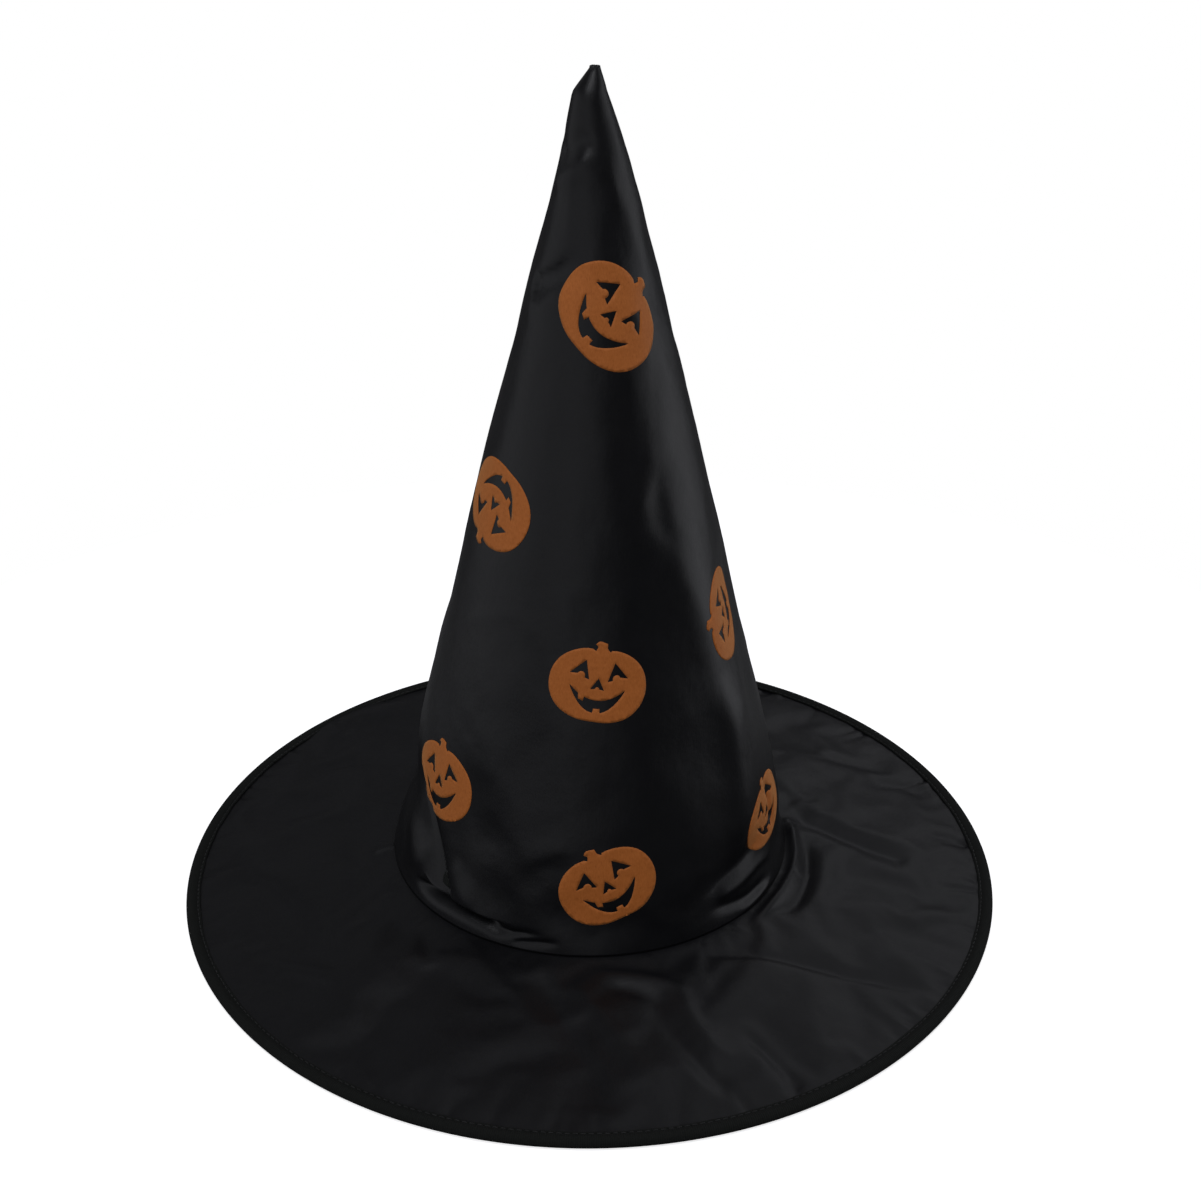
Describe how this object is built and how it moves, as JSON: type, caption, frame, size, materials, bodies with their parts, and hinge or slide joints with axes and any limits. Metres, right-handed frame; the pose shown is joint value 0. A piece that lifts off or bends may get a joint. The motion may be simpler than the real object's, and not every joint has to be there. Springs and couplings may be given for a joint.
{
  "type": "witch hat",
  "caption": "Tall pointed fancy-dress hat in black satin with a wide wire-hooped brim, a taped edge and a scatter of printed pumpkin faces.",
  "frame": {"origin": "on the hat's axis, in the plane that the brim's binding stands on", "axes": "+Z along the crown's axis towards the tip; the front of the hat faces -Y and the crown's back seam is at +Y"},
  "size_m": [0.38, 0.38, 0.369],
  "materials": {
    "satin": "black polyester satin, soft sheen",
    "interlining": "non-woven, matt",
    "woven_tape": "black woven binding tape, matt",
    "thread": "black polyester sewing thread",
    "spring_steel": "drawn spring wire",
    "print_ink": "orange ink film, slightly rubbed",
    "label_satin": "white satin ribbon, blank"
  },
  "bodies": {
    "hat": {"crown_cloth": "satin", "brim_top_cloth": "satin", "brim_under_cloth": "satin", "crown_seam_allowance": "satin", "crown_interlining": "interlining", "brim_binding": "woven_tape", "head_tape": "woven_tape", "binding_needle_thread": "thread", "binding_bobbin_thread": "thread", "crown_seam_overlock": "thread", "head_seam_thread": "thread", "head_tape_upper_thread": "thread", "hoop_wire": "spring_steel", "hoop_ferrule": "spring_steel", "pumpkin_print_1": "print_ink", "pumpkin_print_2": "print_ink", "pumpkin_print_3": "print_ink", "pumpkin_print_4": "print_ink", "pumpkin_print_5": "print_ink", "pumpkin_print_6": "print_ink", "pumpkin_print_7": "print_ink", "pumpkin_print_8": "print_ink", "pumpkin_print_9": "print_ink", "pumpkin_print_10": "print_ink", "pumpkin_print_11": "print_ink", "pumpkin_print_12": "print_ink", "pumpkin_print_13": "print_ink", "pumpkin_print_14": "print_ink"},
    "label": {"care_label": "label_satin"}
  },
  "joints": [
    {"name": "label_hinge", "type": "hinge", "parent": "hat", "child": "label", "pos_m": [0, 0.0839, 0.0369], "axis": [-1, 0, 0], "range_deg": [-10, 150]}
  ]
}
